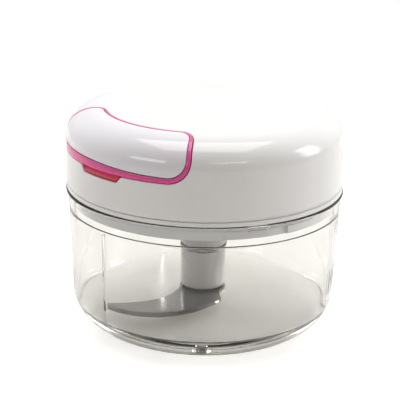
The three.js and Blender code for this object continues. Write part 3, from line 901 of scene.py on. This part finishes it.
def build_scoop_lip():
    """Sloped lip under the grip, at the mouth of the finger scoop, coloured red as painted shade: it stands
    in for the shaded pink inside the scoop. It is pulled out with the handle.
    """
    high = GRIP_BOTTOM + 0.05
    inner_span = np.linspace(SCOOP_SPAN[0] + 0.6, SCOOP_SPAN[1] - 0.6, 60)
    azimuths = [a for a in inner_span if scoop_dip(a) >= LIP_DEPTH]
    sheet = Sheet()
    rings = []
    for azimuth in azimuths:
        low = min(GRIP_BOTTOM + 0.55 - scoop_dip(azimuth), high - 0.7)
        section = [(62.75, low), (60.4, high), (59.4, high), (59.4, low - 0.4), (62.0, low - 0.4)]
        rings.append(sheet.add([polar(r, azimuth, z) for r, z in section]))
    for a, b in zip(rings, rings[1:]):
        sheet.faces += bridge(a, b)
    sheet.faces += [rings[0], rings[-1]]
    stand_for(piece("scoop_lip", sheet.points, sheet.faces, SCOOP.material), "handle", "pink")


build_grip()
build_cover()
build_scoop_lip()


# ------------------------------------------------------------ lid base and gasket

TRACK_RADIUS = 58.2
TRACK_SPAN = (-36.0, -8.0)
SLOT_SPAN = (-50.0, -36.0)
SLOT_BOTTOM = 61.9
BASE_PLATE = 66.0


def build_lid_base():
    skirt_inner, skirt_outer = 56.8, 59.4
    collar = (11.2, 13.2)
    profile = rounded([
        (collar[0], 50, 0.3), (collar[1], 50, 0.5), (collar[1], BASE_PLATE, 1.5),
        (skirt_inner, BASE_PLATE, 1.5), (skirt_inner, SKIRT_BOTTOM, 0.5),
        (skirt_outer, SKIRT_BOTTOM, 0.6), (skirt_outer, SLOT_BOTTOM), (skirt_outer, SLOT_BOTTOM + 0.1),
        (skirt_outer, 66.5), (62.2, 66.5), (62.2, 65.4, 0.15),
        (LID_RADIUS, 65.4, 0.35), (LID_RADIUS, FLANGE_TOP, 0.35), (60.5, FLANGE_TOP),
        (60.5, 69), (12.4, 69), (12.4, 60), (collar[0], 60),
    ], closed=True)

    def shape(azimuth, radius, height, row):
        if radius < skirt_outer - 0.7 or radius > skirt_outer + 0.05 or height > 66.45:
            return radius
        local = (azimuth + 60) % 120 - 60
        track = TRACK_SPAN[0] <= local <= TRACK_SPAN[1]
        slot = SLOT_SPAN[0] <= local <= SLOT_SPAN[1] and height > SLOT_BOTTOM + 0.05
        return min(radius, TRACK_RADIUS) if track or slot else radius

    edges = [t + m + d for t in (0, 120, 240) for m, d in (
        (TRACK_SPAN[0], 0), (TRACK_SPAN[0], -0.15), (TRACK_SPAN[1], 0), (TRACK_SPAN[1], 0.15),
        (SLOT_SPAN[0], 0), (SLOT_SPAN[0], -0.15))]
    made = turned("lid_base_white", profile, WHITE.material, columns_with(160, edges), shape)
    stand_for(made, "lid", "white", "lid_base")


def build_gasket():
    low, high = cad_box("lid_gasket")
    inner, outer, edge = 59.6, 61.8, 0.25
    profile = rounded([(inner, low[2], edge), (outer, low[2], edge),
                       (outer, high[2], edge), (inner, high[2], edge)], closed=True)
    stand_for(turned("rim_gasket", profile, SEAL), "gasket", "seal", "lid_gasket")


build_lid_base()
build_gasket()


# ------------------------------------------------------------ blades and hub


def bezier(points, steps):
    """Points of a Bezier curve of any order, without its last point."""
    made = []
    for k in range(steps):
        t = k / steps
        row = [Vector(p) for p in points]
        while len(row) > 1:
            row = [a.lerp(b, t) for a, b in zip(row, row[1:])]
        made.append(row[0])
    return made


def blade_outline():
    """Plan outline: cutting edge first, then the heel, round the hub and back along the inside curve."""
    root = HUB_RADIUS + 0.4
    turns = np.linspace(math.radians(-42), math.pi, 30)[:-1]
    cutting = bezier([(-43.5, -31), (-31, -46), (-8, -46), (7.7, -22.6)], 34)
    heel = bezier([(7.7, -22.6), (9.6, -19.5), (8.2, -17)], 8) + [Vector((8.2, -17))]
    hub = [Vector((root * math.cos(t), root * math.sin(t))) for t in turns]
    inside = bezier([(-root, 0), (-11, -12.5), (-20, -21.5)], 14)
    inside += bezier([(-20, -21.5), (-26.5, -28), (-43.5, -28.5)], 14) + [Vector((-43.5, -28.5))]
    return cutting + heel + hub + inside, len(cutting)


def build_blade(name, node, turn):
    """Sheet blade with a ground bevel along its outer curve."""
    outline, cutting = blade_outline()
    count = len(outline)
    low, high = (c[2] for c in cad_box(node))
    bevel = []
    for i in range(count):
        share = i / cutting
        bevel.append(0.12 + (2.8 * math.sin(math.pi * min(1, share)) ** 0.5 if 0 < share < 1 else 0))
    top, edge_top, edge_low, bottom = [], [], [], []
    rotate = Matrix.Rotation(math.radians(turn), 2)
    for i, p in enumerate(outline):
        along = (outline[(i + 1) % count] - outline[i - 1]).normalized()
        inward = Vector((-along.y, along.x))
        for ring, depth, z in ((top, bevel[i], high), (edge_top, 0.0, low + 0.45),
                               (edge_low, 0.0, low + 0.15), (bottom, 0.15, low)):
            place = rotate @ (p + inward * depth)
            ring.append((place.x, place.y, z))
    sheet = Sheet()
    loops = [sheet.add(ring) for ring in (top, edge_top, edge_low, bottom)]
    for a, b in zip(loops, loops[1:]):
        sheet.faces += bridge(a, b)
    sheet.faces += [loops[0], loops[-1]]
    made = piece(name, sheet.points, sheet.faces, BLADE, sharp=12)
    stand_for(made, "blades", "steel", node)


def build_hub():
    """Rounded drums that clamp the two blades."""
    r = HUB_RADIUS
    for name, node, edges in (("hub_lower_nut", "hub_nut", (1.6, 0.3)),
                              ("hub_drum", "hub_spacer", (2.4, 0.4)),
                              ("hub_top_drum", "hub_upper", (0.4, 0.8))):
        low, high = (c[2] for c in cad_box(node))
        profile = rounded([(5.85, low), (r, low, edges[0]), (r, high, edges[1]), (5.85, high)], closed=True)
        stand_for(turned(name, profile, HUB.material, 96), "blades", "white", node)


build_blade("lower_blade", "blade_lower", 0)
build_blade("top_blade", "blade_upper", 180)
build_hub()


# ------------------------------------------------------------ pull cord and eyelet


def along_pull(distance, across=0.0, up=0.0):
    """Point on the pull line at a distance from the axis, moved across and up."""
    a = math.radians(PULL_AXIS)
    out = Vector((-math.sin(a), -math.cos(a), 0))
    side = Vector((-out.y, out.x, 0))
    return tuple(out * distance + side * across + Vector((0, 0, CORD_HEIGHT + up)))


def turned_along_pull(name, profile, material, segments=32):
    """Closed profile of (distance from the axis, radius) turned about the pull line."""
    points, faces = [], []
    count = len(profile)
    for i in range(segments):
        t = 2 * math.pi * i / segments
        points += [along_pull(d, r * math.cos(t), r * math.sin(t)) for d, r in profile]
        for k in range(count):
            a, b = i * count + k, i * count + (k + 1) % count
            shift = (count if i < segments - 1 else -i * count)
            faces.append([a, b, b + shift, a + shift])
    return piece(name, points, faces, material)


def build_cord():
    """Cord between the lid and the handle."""
    start, end = 43.0, 48.4
    points, faces = [], []
    rings, sides = 60, 16
    for k in range(rings + 1):
        distance = start + (end - start) * k / rings
        for i in range(sides):
            t = 2 * math.pi * i / sides
            points.append(along_pull(distance, CORD_RADIUS * math.cos(t), CORD_RADIUS * math.sin(t)))
    for k in range(rings):
        for i in range(sides):
            j = (i + 1) % sides
            faces.append([k * sides + i, k * sides + j, (k + 1) * sides + j, (k + 1) * sides + i])
    faces += [list(range(sides)), [rings * sides + i for i in range(sides)]]
    made = piece("pull_cord", points, faces, NYLON, sharp=60)
    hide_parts("cord_end")
    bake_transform(made)


def build_eyelet():
    profile = rounded([(43.2, 1.5), (45.38, 1.5, 0.25), (45.38, 3.4, 0.2), (44.6, 3.6)], closed=True)
    stand_for(turned_along_pull("cord_eyelet_ring", profile, STEEL), "lid", "steel", "cord_eyelet")


build_cord()
build_eyelet()


# ------------------------------------------------------------ CAD nodes that stay

KEPT = {
    "spindle_pin": STEEL, "lid_screw_1": STEEL, "lid_screw_2": STEEL, "lid_screw_3": STEEL,
    "handle_screw_1": STEEL, "handle_screw_2": STEEL, "reel_axle": STEEL, "axle_washer": STEEL,
    "drive_washer": STEEL, "pawl_1": STEEL, "pawl_2": STEEL, "power_spring": SPRING,
    "reel": NATURAL, "reel_cover": NATURAL, "drive_hub": NATURAL, "drive_bushing": NATURAL,
    "blade_shaft": NATURAL, "cord_anchor": NATURAL, "cord_coil": NYLON, "cord_lead": NYLON,
}


def finish_cad_nodes():
    for node, material in KEPT.items():
        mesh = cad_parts[node].data
        mesh.materials.clear()
        mesh.materials.append(material)


finish_cad_nodes()


# ------------------------------------------------------------ stage and light

FLOOR_COLOR = (0.7, 0.685, 0.66)
FLOOR_GLOW = 0.5


def by_ray(nodes, links, ray, otherwise, on_that_ray):
    """A number that is different for one kind of ray."""
    path = nodes.new("ShaderNodeLightPath")
    choice = nodes.new("ShaderNodeMapRange")
    choice.inputs["To Min"].default_value = otherwise
    choice.inputs["To Max"].default_value = on_that_ray
    links.new(path.outputs[ray], choice.inputs["Value"])
    return choice.outputs["Result"]


def make_floor():
    """Pale table: near white to the eye, with less bounce onto the front of the object."""
    radius = 0.9
    points = [polar(radius / MM, a, -0.05) for a in range(0, 360, 5)]
    paint = Paint("floor", FLOOR_COLOR, 0.6)
    paint.feed("Roughness", paint.ramp(paint.noise(6, 2), 0.55, 0.65))
    paint.set("Emission Color", (1, 1, 1, 1))
    paint.feed("Emission Strength", by_ray(paint.nodes, paint.links, "Is Camera Ray", 0.0, FLOOR_GLOW))
    floor = piece("floor", points, [list(range(len(points)))], paint.material, outward=False)


def area_light(name, place, aim, size, power):
    data = bpy.data.lights.new(name, "AREA")
    data.shape = "RECTANGLE"
    data.size, data.size_y = size
    data.energy = power
    made = bpy.data.objects.new(name, data)
    bpy.context.scene.collection.objects.link(made)
    made.location = place
    made.rotation_euler = (Vector(place) - Vector(aim)).to_track_quat("Z", "Y").to_euler()
    return made


WORLD_FRONT = (0.115, 0.094, 0.086)
WORLD_BACK = (0.8, 0.8, 0.79)


def make_world():
    """White to the camera; as a light, bright behind and dim in front."""
    world = bpy.data.worlds.new("studio")
    bpy.context.scene.world = world
    world.use_nodes = True
    nodes, links = world.node_tree.nodes, world.node_tree.links
    background = nodes["Background"]
    place = nodes.new("ShaderNodeTexCoord")
    split = nodes.new("ShaderNodeSeparateXYZ")
    links.new(place.outputs["Generated"], split.inputs["Vector"])
    turn = nodes.new("ShaderNodeMapRange")
    turn.inputs["From Min"].default_value = -0.8
    turn.inputs["From Max"].default_value = 0.25
    links.new(split.outputs["Y"], turn.inputs["Value"])
    ramp = nodes.new("ShaderNodeValToRGB")
    ramp.color_ramp.interpolation = "EASE"
    ramp.color_ramp.elements[0].color = (*WORLD_FRONT, 1)
    ramp.color_ramp.elements[1].color = (*WORLD_BACK, 1)
    links.new(turn.outputs["Result"], ramp.inputs["Fac"])
    links.new(ramp.outputs["Color"], background.inputs["Color"])
    seen = nodes.new("ShaderNodeBackground")
    seen.inputs["Color"].default_value = (1, 1, 1, 1)
    seen.inputs["Strength"].default_value = 1.0
    mix = nodes.new("ShaderNodeMixShader")
    path = nodes.new("ShaderNodeLightPath")
    links.new(path.outputs["Is Camera Ray"], mix.inputs["Fac"])
    links.new(background.outputs["Background"], mix.inputs[1])
    links.new(seen.outputs["Background"], mix.inputs[2])
    links.new(mix.outputs["Shader"], nodes["World Output"].inputs["Surface"])


def make_lights():
    aim = (0, 0, 0.05)
    for side in (-1, 1):
        back = area_light("back", (0.6 * side, 0.62, 0.46), aim, (0.3, 0.3), 3.2)
        back.visible_glossy = False
    area_light("top", (0.0, 0.1, 1.0), aim, (0.8, 0.7), 4.5)
    area_light("right", (0.8, 0.03, 0.35), aim, (0.28, 0.45), 2.0)
    area_light("left", (-0.56, -0.54, 0.35), aim, (0.4, 0.14), 0.55)
    area_light("front", (0.28, -0.75, 0.42), aim, (0.4, 0.05), 0.3)


make_floor()
make_world()
make_lights()
view = bpy.context.scene.view_settings
view.view_transform = "Standard"
view.look = "None"
